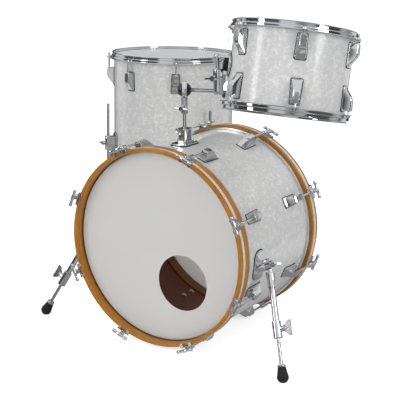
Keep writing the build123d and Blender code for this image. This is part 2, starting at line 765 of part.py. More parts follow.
def leg_bracket():
    """Pad and block bored for a leg, in the polar frame."""
    seat = FLOOR_R + SEAT
    line = FLOOR_R + LEG_OUT
    plan = RectangleRounded(LEG_PAD_LONG, LEG_PAD_WIDE, LEG_PAD_CORNER)
    pad = extrude(Pos(LEG_PAD_AT, 0, seat - LEG_PAD_SINK) * plan, LEG_PAD_SINK + LEG_PAD_UP)
    half = LEG_BLOCK_LONG / 2
    wide = LEG_BLOCK_WIDE / 2
    block = slab(LEG_PAD_AT - half, LEG_PAD_AT + half, -wide, wide, seat, line + LEG_BLOCK_PAST)
    block = fillet(block.edges().filter_by(Axis.X).group_by(Axis.Z)[-1], wide * 0.8)
    body = pad + block - bar_x(seat, -FLOOR_DEPTH, FLOOR_DEPTH)
    body -= bar_x(LEG_R + RUN, LEG_PAD_AT - LEG_PAD_LONG, LEG_PAD_AT + LEG_PAD_LONG, 0, line)
    return body - bar_z(WING_SCREW_R + RUN, line, line + LEG_BLOCK_PAST + 1, LEG_PAD_AT)


def leg_wing():
    """Wing screw of a leg bracket, in the polar frame."""
    line = FLOOR_R + LEG_OUT
    turned = Pos(LEG_PAD_AT, 0, line) * Rot(0, -90, 0)
    return turned * wing_screw(LEG_R + RUN, LEG_BLOCK_PAST + RUN)


def leg_sole(angle):
    """Place of the floor on a leg's line, from the middle of the floor tom."""
    rise = (FLOOR_R + LEG_OUT) * math.cos(math.radians(angle)) * math.sin(FLOOR_LEAN)
    return -(FLOOR.position.Z + rise) / math.cos(FLOOR_LEAN)


def leg(angle):
    """Leg rod at an angle."""
    top = FLOOR_DEPTH / 2 + LIP_UP - LEG_TOP
    return FLOOR * (polar(angle) * bar_x(LEG_R, leg_sole(angle) + LEG_SOLE, top, 0, FLOOR_R + LEG_OUT))


def leg_foot(angle):
    """Rubber foot of a leg, with a flat where it stands on the floor."""
    below = SOLE_R * math.tan(FLOOR_LEAN)
    body = spun([(0, -below), (SOLE_R - 2, -below), (SOLE_R, 2), (SOLE_R, SOLE_UP * 0.4),
                 (SOLE_TOP_R, SOLE_UP), (0, SOLE_UP)])
    body -= bar_z(LEG_R + BULB_PLAY, LEG_SOLE - BULB_PLAY, SOLE_UP + 1)
    foot = FLOOR * (polar(angle) * (Pos(leg_sole(angle), 0, FLOOR_R + LEG_OUT) * Rot(0, 90, 0) * body))
    low = 4 * SOLE_R
    here = FLOOR.position
    return foot - Pos(here.X, here.Y, -low / 2) * Box(FLOOR_DIA * 2, FLOOR_DIA * 2, low)


# Nodes

bass_cuts = screw_cuts(BASS_DIA, BASS_DEPTH, BASS_ANGLES, BASS_LUG_BACK)
bass_cuts.append(Rot(-90, 0, 0) * bar_z(POST_R + 2, BASS_R - SHELL_WALL - 1, BASS_R + 1, 0, POST_Y))
tom_cuts = screw_cuts(TOM_DIA, TOM_DEPTH, TOM_ANGLES, TOM_LUG_BACK)
floor_cuts = screw_cuts(FLOOR_DIA, FLOOR_DEPTH, FLOOR_ANGLES, FLOOR_LUG_BACK)
front_film, front_flesh = bass_head(1)
rear_film, rear_flesh = bass_head(-1)

nodes = {
    "bass_shell": BASS * group([shell(BASS_DIA, BASS_DEPTH, bass_cuts), end_ring(BASS_DIA, BASS_DEPTH, 1),
                                end_ring(BASS_DIA, BASS_DEPTH, -1)]),
    "bass_wrap": BASS * wrap(BASS_DIA, BASS_DEPTH, bass_cuts),
    "bass_front_hoop": BASS * wood_hoop(1),
    "bass_rear_hoop": BASS * wood_hoop(-1),
    "bass_hoop_inlays": BASS * group([inlay(1), inlay(-1)]),
    "bass_front_head": BASS * (front_film - bar_z(PORT_R, 0, BASS_END, PORT_X, PORT_Y)),
    "bass_batter_head": BASS * rear_film,
    "bass_flesh_hoops": BASS * group([front_flesh, rear_flesh]),
    "bass_lugs": BASS * lugs(BASS_DIA, BASS_DEPTH, BASS_ANGLES, BASS_LUG_BACK, BASS_ROD_OUT),
    "bass_lug_screws": BASS * lug_screws(BASS_DIA, BASS_DEPTH, BASS_ANGLES, BASS_LUG_BACK),
    "bass_claws": BASS * group(polar(a, flip) * claw() for flip in (1, -1) for a in BASS_ANGLES),
    "bass_t_rods": BASS * t_rods(),
    "spur_brackets": group([spur_bracket(-1), spur_bracket(1)]),
    "holder_base": holder_base(),
    "holder_base_lock": holder_base_lock(),
    "holder_post": holder_post(),
    "holder_head": holder_head(),
    "holder_head_lock": holder_head_lock(),
    "holder_ball": holder_ball(),
    "holder_arm": holder_arm(),
    "holder_arm_wing": holder_arm_wing(),
    "tom_bracket": tom_bracket(),
}
for label, side in (("left", -1), ("right", 1)):
    nodes["spur_tube_" + label] = spur_tube(side)
    nodes["spur_rod_" + label] = spur_rod(side)
    nodes["spur_foot_" + label] = spur_foot(side)
    nodes["spur_wing_" + label] = spur_wing(side)
    nodes["spur_pivot_wing_" + label] = spur_pivot_wing(side)

TOMS = (("tom", TOM_DIA, TOM_DEPTH, TOM_ANGLES, TOM_LUG_BACK, tom_cuts, TOM),
        ("floor_tom", FLOOR_DIA, FLOOR_DEPTH, FLOOR_ANGLES, FLOOR_LUG_BACK, floor_cuts, FLOOR))
for label, dia, depth, angles, back, cuts, place in TOMS:
    nodes[label + "_shell"] = place * shell(dia, depth, cuts)
    nodes[label + "_wrap"] = place * wrap(dia, depth, cuts)
    nodes[label + "_top_hoop"] = place * tom_hoop(dia, depth, angles, 1)
    nodes[label + "_bottom_hoop"] = place * tom_hoop(dia, depth, angles, -1)
    nodes[label + "_batter_head"] = place * tom_head(dia, depth, 1)
    nodes[label + "_resonant_head"] = place * tom_head(dia, depth, -1)
    nodes[label + "_lugs"] = place * lugs(dia, depth, angles, back, TOM_ROD_OUT)
    nodes[label + "_tension_rods"] = place * tension_rods(dia, depth, angles, back)
    nodes[label + "_lug_screws"] = place * lug_screws(dia, depth, angles, back)

nodes["floor_tom_leg_brackets"] = FLOOR * group(polar(a) * leg_bracket() for a in LEG_ANGLES)
for label, a in zip("abc", LEG_ANGLES):
    nodes["floor_tom_leg_" + label] = leg(a)
    nodes["floor_tom_foot_" + label] = leg_foot(a)
    nodes["floor_tom_wing_" + label] = FLOOR * (polar(a) * leg_wing())

# The origin is the middle of the footprint, on the floor
box = group(nodes.values()).bounding_box()
SHIFT = Vector(-(box.min.X + box.max.X) / 2, -(box.min.Y + box.max.Y) / 2, -box.min.Z)

if __name__ == "__main__":
    for name, solid in nodes.items():
        export_step(Pos(SHIFT.X, SHIFT.Y, SHIFT.Z) * solid, "parts/" + name + ".step")
    print(len(nodes), "nodes", box.size, "shift", SHIFT)
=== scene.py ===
import json
import math

import bmesh
import bpy
from mathutils import Euler, Matrix, Vector


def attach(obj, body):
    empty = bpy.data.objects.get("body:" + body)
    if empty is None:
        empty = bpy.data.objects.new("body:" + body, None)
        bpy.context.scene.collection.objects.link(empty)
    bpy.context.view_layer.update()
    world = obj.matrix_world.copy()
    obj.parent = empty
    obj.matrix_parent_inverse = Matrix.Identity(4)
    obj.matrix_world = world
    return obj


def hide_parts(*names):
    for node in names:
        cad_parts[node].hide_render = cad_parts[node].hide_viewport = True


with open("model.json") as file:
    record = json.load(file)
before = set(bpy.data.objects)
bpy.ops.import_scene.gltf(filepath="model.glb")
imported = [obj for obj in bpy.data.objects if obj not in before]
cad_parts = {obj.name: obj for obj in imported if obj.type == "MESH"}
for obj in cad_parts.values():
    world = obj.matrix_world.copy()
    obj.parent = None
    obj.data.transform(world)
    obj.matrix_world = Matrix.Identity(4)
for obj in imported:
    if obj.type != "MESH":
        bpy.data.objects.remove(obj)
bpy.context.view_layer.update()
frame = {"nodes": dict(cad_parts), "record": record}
NODES = frame["nodes"]


def turn(degrees, axis):
    """Turn about an axis."""
    return Matrix.Rotation(math.radians(degrees), 4, axis)


def move(x=0.0, y=0.0, z=0.0):
    """Move along the axes."""
    return Matrix.Translation((x, y, z))


# Sizes and places are in metres and degrees, in the row frame

# Middle of the bass drum on the floor
SHIFT = Vector((0.155008, -0.346138, 0.0))

# Camera of the photograph
CAMERA_AT = SHIFT + Vector((1.598, -2.427558, 1.176293))
CAMERA_TURN = (74.273, 0.653, 32.974)
CAMERA_LENS, CAMERA_SENSOR, CAMERA_FAR = 99.7, 36.0, 50.0

# Shells: radius and half depth
BASS_R, BASS_HALF = 0.254, 0.1778
TOM_R, TOM_HALF = 0.1524, 0.1016
FLOOR_R, FLOOR_HALF = 0.2032, 0.2032

# Drums in place, each with Z along its axis; the floor tom is placed by its top
BASS_TILT, TOM_LEAN, FLOOR_LEAN = 1.2, 12.9, 3.0
FLOOR_TOP = 0.2142
BASS_AT = SHIFT + Vector((0, 0, 0.270257))
FLOOR_AT = SHIFT + Vector((-0.532, 0.682, 0.641))
UPRIGHT = Matrix.Translation(BASS_AT) @ turn(-BASS_TILT, "X")
BASS = UPRIGHT @ turn(90, "X")
TOM = UPRIGHT @ move(0.271, 0.013, 0.458) @ turn(-TOM_LEAN, "X")
FLOOR = Matrix.Translation(FLOOR_AT) @ turn(-FLOOR_LEAN, "X") @ move(z=-FLOOR_TOP)

# Wood hoops of the bass drum: outer face along the axis, gap round the shell, thickness
BASS_END, HOOP_GAP, HOOP_THICK = 0.206, 0.0024, 0.0096

# Lugs: distance of their middle from the shell's edge, distance of the rod from the shell, and angles
BASS_LUG_BACK, BASS_ROD_OUT = 0.081, 0.021
TOM_LUG_BACK, FLOOR_LUG_BACK, TOM_ROD_OUT = 0.048, 0.074, 0.017
BASS_ANGLES = [22.5 + 45 * k for k in range(8)]
TOM_ANGLES = [36 + 60 * k for k in range(6)]
FLOOR_ANGLES = [36 + 45 * k for k in range(8)]


# Material helpers


def new_material(name):
    """A node material, its tree and its main shader."""
    mat = bpy.data.materials.new(name)
    mat.use_nodes = True
    return mat, mat.node_tree, mat.node_tree.nodes["Principled BSDF"]


def put(tree, value, socket):
    """Links an input to another node's output, or gives it a plain value."""
    if hasattr(value, "is_linked"):
        tree.links.new(value, socket)
    else:
        socket.default_value = value


def add(tree, kind, **settings):
    """A new node with its properties and its inputs given by name."""
    node = tree.nodes.new(kind)
    for key, value in settings.items():
        if hasattr(node, key):
            setattr(node, key, value)
        else:
            put(tree, value, node.inputs[key.replace("_", " ")])
    return node


def maths(tree, operation, *values):
    """Result of arithmetic on outputs and numbers."""
    node = add(tree, "ShaderNodeMath", operation=operation)
    for value, socket in zip(values, node.inputs):
        put(tree, value, socket)
    return node.outputs[0]


def vectors(tree, operation, *values, output="Vector"):
    """Result of vector arithmetic on outputs and triples."""
    node = add(tree, "ShaderNodeVectorMath", operation=operation)
    for value, socket in zip(values, node.inputs):
        put(tree, value, socket)
    return node.outputs[output]


def parts_of(tree, vector):
    """The X, Y and Z of a vector."""
    return add(tree, "ShaderNodeSeparateXYZ", Vector=vector).outputs


def ramp(tree, source, stops):
    """A colour ramp over grey or colour stops."""
    node = add(tree, "ShaderNodeValToRGB", Fac=source)
    band = node.color_ramp
    while len(band.elements) < len(stops):
        band.elements.new(0.5)
    for element, (at, colour) in zip(band.elements, stops):
        element.position = at
        element.color = (*colour, 1) if isinstance(colour, tuple) else (colour, colour, colour, 1)
    return node.outputs["Color"]


def coords(tree):
    """Object coordinates, which are metres of the row frame."""
    return tree.nodes.new("ShaderNodeTexCoord").outputs["Object"]


def noise(tree, at, scale, detail=3.0, rough=0.55, distort=0.0, output="Fac"):
    """Fractal noise over a coordinate."""
    node = add(tree, "ShaderNodeTexNoise", Scale=scale, Detail=detail, Roughness=rough,
               Distortion=distort, Vector=at)
    return node.outputs[output]


def mix(tree, factor, a, b, blend="MIX"):
    """Mix of two colours."""
    node = add(tree, "ShaderNodeMix", data_type="RGBA", blend_type=blend)
    for name, value in (("Factor", factor), ("A", a), ("B", b)):
        put(tree, value, [s for s in node.inputs if s.name == name and s.enabled][0])
    return [s for s in node.outputs if s.enabled][0]


def surface(tree, shader, colour, roughness, **settings):
    """Gives a shader its colour, its roughness, and other inputs by name."""
    put(tree, colour, shader.inputs["Base Color"])
    put(tree, roughness, shader.inputs["Roughness"])
    for key, value in settings.items():
        shader.inputs[key.replace("_", " ")].default_value = value


def bump(tree, shader, height, strength, distance):
    """Bump from a height onto a shader."""
    node = add(tree, "ShaderNodeBump", Strength=strength, Distance=distance, Height=height)
    tree.links.new(node.outputs["Normal"], shader.inputs["Normal"])


# Materials

# Pearl: waviness of the chips, and for large and small chips their number in a metre and their stretch
PEARL_WAVE = (0.020, 0.020, 0.020)
PEARL_CELLS = ((150.0, (1.0, 1.0, 0.55)), (260.0, (0.55, 0.55, 1.0)))

# Radii that part the rims of the wood hoops from their inner faces, which carry painted shade, and the end
# rings from the shell
HOOP_INSIDE, RING_INSIDE = 0.258, 0.2462

# Brings places along the bass drum into the range of a ramp
ALONG_SCALE = 4.0


def pearl():
    """White pearl sheet: pale wavy chips of two sizes in a greyer ground, under a clear coat."""
    mat, tree, shader = new_material("pearl")
    at = coords(tree)
    wavy = vectors(tree, "MULTIPLY_ADD", noise(tree, at, 60.0, 2.0, output="Color"), PEARL_WAVE, at)
    tones = []
    for scale, stretch in PEARL_CELLS:
        cells = add(tree, "ShaderNodeTexVoronoi", feature="F1", Scale=scale, Randomness=1.0,
                    Vector=vectors(tree, "MULTIPLY", wavy, stretch))
        tones.append(cells.outputs["Color"])
    chips = ramp(tree, tones[0], [(0.2, 0.505), (0.5, 0.525), (0.68, 0.545), (0.80, 0.655)])
    flecks = ramp(tree, tones[1], [(0.2, 0.50), (0.5, 0.52), (0.66, 0.545), (0.80, 0.70)])
    cloud = ramp(tree, noise(tree, at, 12.0), [(0.3, (0.96, 0.972, 0.968)), (0.7, (1.0, 1.0, 0.992))])
    surface(tree, shader, mix(tree, 1.0, mix(tree, 0.45, chips, flecks), cloud, "MULTIPLY"),
            ramp(tree, tones[1], [(0.0, 0.28), (1.0, 0.42)]), Coat_Weight=0.6, Coat_Roughness=0.10)
    bump(tree, shader, noise(tree, at, 22.0, 2.0), 0.05, 0.002)
    return mat


def chrome(name="chrome", colour=(0.60, 0.61, 0.625), low=0.03, high=0.10):
    """Polished plate with faint smears and fine scratches in its gloss."""
    mat, tree, shader = new_material(name)
    at = coords(tree)
    smear = noise(tree, at, 26.0, 5.0, 0.6)
    surface(tree, shader, ramp(tree, smear, [(0.3, tuple(c * 0.94 for c in colour)), (0.7, colour)]),
            ramp(tree, smear, [(0.35, low), (0.75, high)]), Metallic=1.0)
    bump(tree, shader, noise(tree, at, 420.0, 2.0), 0.015, 0.0004)
    return mat


def drum_coords(tree):
    """Distance from the bass drum's axis, place along it, and direction round it."""
    level = vectors(tree, "SUBTRACT", coords(tree), BASS_AT)
    straight = add(tree, "ShaderNodeVectorRotate", rotation_type="X_AXIS", Vector=level,
                   Angle=math.radians(BASS_TILT))
    place = parts_of(tree, straight.outputs["Vector"])
    flat = add(tree, "ShaderNodeCombineXYZ", X=place["X"], Z=place["Z"]).outputs[0]
    far = vectors(tree, "LENGTH", flat, output="Value")
    way = parts_of(tree, vectors(tree, "NORMALIZE", flat))
    return far, place["Y"], way["X"], way["Z"]


def round_grain(tree, fine, slow, detail=5.0):
    """Wood grain that runs round the bass drum's axis, distance from the axis, and place along it."""
    far, along, east, up = drum_coords(tree)
    at = add(tree, "ShaderNodeCombineXYZ", X=maths(tree, "MULTIPLY", far, fine),
             Y=maths(tree, "MULTIPLY", along, fine), Z=maths(tree, "MULTIPLY", east, slow))
    grain = add(tree, "ShaderNodeTexNoise", noise_dimensions="4D", Scale=1.0, Detail=detail, Roughness=0.6,
                Vector=at.outputs[0], W=maths(tree, "MULTIPLY", up, slow))
    return grain.outputs["Fac"], far, along


def lacquered_maple():
    """Amber maple bent round a hoop, with grain round the axis and painted shade deep inside on its inner
    face, under gloss lacquer.
    """
    mat, tree, shader = new_material("maple_lacquer")
    grain, far, along = round_grain(tree, 260.0, 5.0)
    flame = noise(tree, coords(tree), 30.0, 3.0, 0.5, 0.8)
    wood = ramp(tree, grain, [(0.3, (0.275, 0.098, 0.003)), (0.5, (0.36, 0.141, 0.005)),
                              (0.72, (0.445, 0.190, 0.010))])
    shade = ramp(tree, flame, [(0.3, 0.88), (0.7, 1.05)])
    # Painted shade: inside the rim radius, the hoop's inner face is darkened with depth towards the head, as
    # shadow in the gap there
    deep = maths(tree, "MULTIPLY", maths(tree, "ABSOLUTE", along), ALONG_SCALE)
    painted_gap_shade = ramp(tree, deep, [(0.715, 0.35), (0.728, 0.60), (0.745, 1.0)])
    painted_shade_mask = maths(tree, "MAXIMUM", maths(tree, "GREATER_THAN", far, HOOP_INSIDE), painted_gap_shade)
    surface(tree, shader, mix(tree, 1.0, mix(tree, 1.0, wood, shade, "MULTIPLY"), painted_shade_mask, "MULTIPLY"),
            ramp(tree, flame, [(0.3, 0.26), (0.7, 0.38)]),
            Specular_IOR_Level=0.3, Coat_Weight=0.2, Coat_Roughness=0.12)
    bump(tree, shader, grain, 0.05, 0.0006)
    return mat


def shell_wood():
    """Inside of a shell: dark stained ply, with paler maple in the bass drum's end rings."""
    mat, tree, shader = new_material("shell_wood")
    grain, far, _ = round_grain(tree, 120.0, 8.0, 6.0)
    dark = ramp(tree, grain, [(0.25, (0.53, 0.185, 0.090)), (0.55, (0.55, 0.195, 0.097)),
                              (0.8, (0.58, 0.21, 0.108))])
    pale = ramp(tree, grain, [(0.25, (0.90, 0.50, 0.15)), (0.55, (0.93, 0.57, 0.19)),
                              (0.8, (0.95, 0.63, 0.25))])
    surface(tree, shader, mix(tree, maths(tree, "LESS_THAN", far, RING_INSIDE), dark, pale),
            ramp(tree, grain, [(0.2, 0.40), (0.8, 0.58)]))
    bump(tree, shader, grain, 0.05, 0.0006)
    return mat


def head_film():
    """Smooth white film with a faint haze and fine dust in its gloss."""
    mat, tree, shader = new_material("head_film")
    at = coords(tree)
    haze, dust = noise(tree, at, 5.0, 4.0), noise(tree, at, 240.0)
    surface(tree, shader, ramp(tree, haze, [(0.3, (0.87, 0.87, 0.852)), (0.7, (0.90, 0.90, 0.885))]),
            ramp(tree, dust, [(0.3, 0.36), (0.7, 0.5)]), Subsurface_Weight=0.62,
            Subsurface_Radius=(1.0, 0.98, 0.94), Subsurface_Scale=0.006)
    bump(tree, shader, dust, 0.02, 0.0004)
    return mat


def rubber():
    """Moulded black rubber with a dusty matt bloom."""
    mat, tree, shader = new_material("rubber")
    at = coords(tree)
    grime = noise(tree, at, 70.0, 5.0, 0.65)
    surface(tree, shader, ramp(tree, grime, [(0.3, 0.004), (0.72, 0.014)]),
            ramp(tree, grime, [(0.3, 0.5), (0.7, 0.75)]), Specular_IOR_Level=0.3)
    bump(tree, shader, noise(tree, at, 600.0, 2.0), 0.15, 0.0005)
    return mat


def black_plastic():
    """Polished black moulding."""
    mat, tree, shader = new_material("ball_plastic")
    wear = noise(tree, coords(tree), 90.0, 4.0)
    surface(tree, shader, ramp(tree, wear, [(0.3, 0.008), (0.7, 0.02)]),
            ramp(tree, wear, [(0.3, 0.16), (0.7, 0.32)]))
    bump(tree, shader, wear, 0.03, 0.0004)
    return mat


MATERIALS = {
    "pearl": pearl(),
    "chrome": chrome(),
    "steel": chrome("steel", (0.50, 0.50, 0.51), 0.20, 0.36),
    "flesh_metal": chrome("flesh_metal", (0.76, 0.77, 0.78), 0.14, 0.28),
    "maple_lacquer": lacquered_maple(),
    "shell_wood": shell_wood(),
    "head_film": head_film(),
    "rubber": rubber(),
    "ball_plastic": black_plastic(),
}

for part in frame["record"]["subparts"]:
    node = NODES[part["node"]]
    node.data.materials.clear()
    node.data.materials.append(MATERIALS[part["material_slot"]])


# Mesh helpers: every piece is made in place, in the row frame

# Points nearer than this are one point, in a new piece and in a CAD node
SAME_POINT, SAME_CAD_POINT = 1e-6, 1e-5

# Rounded edges: steps across, and the least angle of an edge that is rounded
EDGE_STEPS, EDGE_ANGLE = 2, 32


def polar(angle, flip=1):
    """Frame on a drum's axis: X along the axis, Z outward at an angle from -Y toward +X."""
    a = math.radians(angle)
    x = Vector((0, 0, flip))
    z = Vector((math.sin(a), -math.cos(a), 0))
    return Matrix((x, z.cross(x), z)).transposed().to_4x4()


def piece(name, bm, body, slot, bevel=0.0, sharp=40.0, stands_for=()):
    """Turns a mesh in the making into a complete piece that rides on a body."""
    bmesh.ops.remove_doubles(bm, verts=bm.verts, dist=SAME_POINT)
    bmesh.ops.recalc_face_normals(bm, faces=bm.faces)
    for face in bm.faces:
        face.smooth = True
    for edge in bm.edges:
        if len(edge.link_faces) == 2 and edge.calc_face_angle(0.0) > math.radians(sharp):
            edge.smooth = False
    obj = in_scene(name, bm, MATERIALS[slot])
    if bevel:
        round_edges(obj, bevel)
    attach(obj, body)
    if stands_for:
        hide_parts(*stands_for)


def in_scene(name, bm, mat):
    """Object of a mesh in the making, in the scene."""
    mesh = bpy.data.meshes.new(name)
    bm.to_mesh(mesh)
    bm.free()
    mesh.materials.append(mat)
    obj = bpy.data.objects.new(name, mesh)
    bpy.context.scene.collection.objects.link(obj)
    return obj


def round_edges(obj, width, weld=False):
    """Small rounded edges, so that polished metal catches light along them."""
    if weld:
        merge = obj.modifiers.new("weld", "WELD")
        merge.merge_threshold = SAME_CAD_POINT
    cut = obj.modifiers.new("bevel", "BEVEL")
    cut.width = width
    cut.segments = EDGE_STEPS
    cut.limit_method = "ANGLE"
    cut.angle_limit = math.radians(EDGE_ANGLE)
    cut.harden_normals = True
    cut.use_clamp_overlap = True


def loops(bm, rings, matrix, caps=True):
    """Skin over a list of closed point rings with the same count."""
    made = [[bm.verts.new(matrix @ Vector(p)) for p in ring] for ring in rings]
    count = len(made[0])
    for a, b in zip(made, made[1:]):
        for k in range(count):
            j = (k + 1) % count
            bm.faces.new((a[k], a[j], b[j], b[k]))
    if caps:
        bm.faces.new(made[0][::-1])
        bm.faces.new(made[-1])


def turned(bm, matrix, profile, segments=24, ring=False):
    """Lathe shape along local X from (radius, place) points, capped at its ends or closed into a ring."""
    ways = [2 * math.pi * k / segments for k in range(segments)]
    rings = [[(x, radius * math.cos(a), radius * math.sin(a)) for a in ways] for radius, x in profile]
    loops(bm, rings + rings[:1] if ring else rings, matrix, caps=not ring)


def arc(before, corner, after, steps):
    """Points of a smooth curve from one point to another, drawn to a corner."""
    out = []
    for k in range(steps + 1):
        t = k / steps
        out.append(before * (1 - t) ** 2 + 2 * corner * t * (1 - t) + after * t ** 2)
    return out


def rounded(corners, steps=5):
    """Closed outline with round corners, from (x, y, radius) corners."""
    out = []
    for k, (x, y, radius) in enumerate(corners):
        here = Vector((x, y))
        before = (Vector(corners[k - 1][:2]) - here).normalized() * radius
        after = (Vector(corners[(k + 1) % len(corners)][:2]) - here).normalized() * radius
        out += arc(here + before, here, here + after, steps)
    return out


def rounded_box(long, wide, corner, steps=6):
    """Outline of a rectangle with round corners, anticlockwise."""
    out = []
    for k, (sx, sy) in enumerate(((1, 1), (-1, 1), (-1, -1), (1, -1))):
        for i in range(steps + 1):
            a = math.radians(90 * k + 90 * i / steps)
            out.append((sx * (long / 2 - corner) + corner * math.cos(a),
                        sy * (wide / 2 - corner) + corner * math.sin(a)))
    return out


def on_shell(points, radius, lift, along=0.0):
    """Outline laid on a drum's shell, lifted off it."""
    return [(along + x, y, math.sqrt(radius ** 2 - y ** 2) + lift) for x, y in points]


# Gaskets: lift off the shell, clearance round the foot, height of the outer side and width of the top
PAD_LIFT, PAD_CLEAR, PAD_SIDE, PAD_TOP = 0.00005, 0.0001, 0.55, 0.75


def pad_edge(bm, at, radius, inner, middle, outer, up, along=0.0):
    """Edge of a gasket on a drum's shell, which shows round a foot."""
    section = ((inner, PAD_LIFT), (outer, PAD_LIFT), (outer, up * PAD_SIDE), (middle, up), (inner, up),
               (inner, PAD_LIFT))
    loops(bm, [on_shell(line, radius, lift, along) for line, lift in section], at, caps=False)


# Lugs, with dark pads round them

# Half width at the rod end and at the tail, half length, and corner radii of the foot
LUG_NOSE, LUG_TAIL, LUG_LONG, NOSE_ROUND, TAIL_ROUND = 0.0120, 0.0148, 0.0310, 0.003, 0.007

# Growth of the foot's outline and lift off the shell, from its underside up
LUG_FOOT = ((0.0, 0.0004), (0.0, 0.0022), (-0.0006, 0.0028))

# Along the lug: place, half width at the foot, half width at the top, share of the full height
LUG_STATIONS = ((0.0290, 0.0102, 0.0084, 0.97), (0.0280, 0.0104, 0.0086, 1.0),
                (0.0020, 0.0106, 0.0088, 1.0), (-0.0030, 0.0109, 0.0091, 0.95),
                (-0.0090, 0.0115, 0.0099, 0.76), (-0.0160, 0.0123, 0.0110, 0.50),
                (-0.0230, 0.0131, 0.0121, 0.26), (-0.0290, 0.0136, 0.0131, 0.10))

# Height of the casing above the rod, its least height, and how far it goes into the foot
LUG_UP, LUG_LEAST, LUG_SINK = 0.0062, 0.0028, 0.0008

# Ridges along the casing's top: depth, places along it with their height, half widths from outside in
RIDGE_DEEP = 0.004
RIDGE_STATIONS = ((0.0272, -0.0012), (0.0262, 0.0004), (0.0030, 0.0004), (-0.0010, -0.0012))
RIDGE_WIDTHS = (0.0080, 0.0078, 0.0050, 0.0048)

# Nut in the rod end, radius and place
LUG_NUT = [(0.0032, 0.0284), (0.0050, 0.0284), (0.0052, 0.0300), (0.0046, 0.0306), (0.0032, 0.0306)]

# Gasket: growth past the foot, and height
LUG_PAD_GROW, LUG_PAD_UP = 0.0016, 0.0012


def lug_foot(grow=0.0):
    """Outline of a lug: narrow at the rod end, broad at the tail."""
    nose, tail, long = LUG_NOSE + grow, LUG_TAIL + grow, LUG_LONG + grow
    return rounded([(long, nose, NOSE_ROUND), (-long, tail, TAIL_ROUND), (-long, -tail, TAIL_ROUND),
                    (long, -nose, NOSE_ROUND)])


def lug_shape(bm, at, radius, out):
    """Casing that stands tall at the rod end and slopes to a broad flat tail."""
    loops(bm, [on_shell(lug_foot(grow), radius, lift) for grow, lift in LUG_FOOT], at)
    top = out + LUG_UP
    rings = []
    for x, low, high, share in LUG_STATIONS:
        h = max(share * top, LUG_LEAST)
        side = [(low, 0.0), (low * 0.55 + high * 0.45, 0.62 * h), (high, 0.95 * h), (high * 0.86, h)]
        rings.append([(x, y, radius - LUG_SINK + z) for y, z in side + [(-y, z) for y, z in side[::-1]]])
    loops(bm, rings, at)
    for side in (1, -1):
        ridge = []
        for x, lift in RIDGE_STATIONS:
            heights = (top - RIDGE_DEEP, top + lift, top + lift, top - RIDGE_DEEP)
            ridge.append([(x, side * y, radius + z) for y, z in zip(RIDGE_WIDTHS, heights)])
        loops(bm, ridge, at)
    turned(bm, at @ move(z=radius + out), LUG_NUT)


def lug_pieces(drum, frame_at, radius, half, back, out, angles, body):
    """Casings of all lugs of one drum and the dark pads that show round them."""
    pads, cases = bmesh.new(), bmesh.new()
    feet = [lug_foot(grow) for grow in (PAD_CLEAR, LUG_PAD_GROW * PAD_TOP, LUG_PAD_GROW)]
    for flip in (1, -1):
        for angle in angles:
            at = frame_at @ polar(angle, flip) @ move(half - back)
            pad_edge(pads, at, radius, *feet, LUG_PAD_UP)
            lug_shape(cases, at, radius, out)
    piece(f"{drum}_lug_gaskets", pads, body, "rubber")
    piece(f"{drum}_lug_casings", cases, body, "chrome", bevel=0.0006, sharp=38.0,
          stands_for=(f"{drum}_lugs",))


lug_pieces("bass", BASS, BASS_R, BASS_HALF, BASS_LUG_BACK, BASS_ROD_OUT, BASS_ANGLES, "bass_drum")
lug_pieces("tom", TOM, TOM_R, TOM_HALF, TOM_LUG_BACK, TOM_ROD_OUT, TOM_ANGLES, "rack_tom")
lug_pieces("floor_tom", FLOOR, FLOOR_R, FLOOR_HALF, FLOOR_LUG_BACK, TOM_ROD_OUT, FLOOR_ANGLES, "floor_tom")


# Gaskets of the larger plates

# Angles of the plates: spurs from the top of the bass drum, tom mount, and legs of the floor tom
SPUR_PLATE_ANGLE, MOUNT_ANGLE, LEG_ANGLES = 96, -54, (-40, 66, 190)

# Place along the shell, length, width and corner radius of the plate, growth and height of the gasket
SPUR_PLATE = (0.097, 0.048, 0.078, 0.020, 0.002, 0.0011)
HOLDER_PLATE = (0.058, 0.072, 0.046, 0.0115, 0.003, 0.0016)
MOUNT_PLATE = (-0.001, 0.060, 0.060, 0.0299, 0.002, 0.0011)
LEG_PLATE = (-0.092, 0.066, 0.042, 0.010, 0.0015, 0.0011)

# Black ring round the cup of the tom mount, radius and place out from the shell
MOUNT_RING = [(0.0100, 0.0054), (0.0176, 0.0054), (0.0182, 0.0062), (0.0178, 0.0085), (0.0166, 0.0092),
              (0.0166, 0.0100), (0.0174, 0.0106), (0.0174, 0.0140), (0.0164, 0.0154), (0.0100, 0.0160)]


def plate_gasket(bm, matrix, radius, along, long, wide, corner, grow, up):
    """Gasket edge on a drum's shell round a plate."""
    inner = rounded_box(long + 2 * PAD_CLEAR, wide + 2 * PAD_CLEAR, corner)
    middle, outer = [rounded_box(long + 2 * g, wide + 2 * g, corner + g) for g in (grow * PAD_TOP, grow)]
    pad_edge(bm, matrix, radius, inner, middle, outer, up, along)


def plate_gaskets():
    """Dark pads that show round the larger plates."""
    bm = bmesh.new()
    for side in (1, -1):
        plate_gasket(bm, BASS @ polar(180 - side * SPUR_PLATE_ANGLE), BASS_R, *SPUR_PLATE)
    plate_gasket(bm, BASS @ polar(180), BASS_R, *HOLDER_PLATE)
    piece("bass_plate_gaskets", bm, "bass_drum", "rubber")
    bm = bmesh.new()
    at = TOM @ polar(MOUNT_ANGLE)
    plate_gasket(bm, at, TOM_R, *MOUNT_PLATE)
    turned(bm, at @ move(MOUNT_PLATE[0], 0, TOM_R) @ turn(-90, "Y"), MOUNT_RING, 40)
    piece("tom_mount_gasket", bm, "rack_tom", "rubber")
    bm = bmesh.new()
    for angle in LEG_ANGLES:
        plate_gasket(bm, FLOOR @ polar(angle), FLOOR_R, *LEG_PLATE)
    piece("floor_tom_leg_gaskets", bm, "floor_tom", "rubber")


plate_gaskets()


# Rolled hoops of the toms

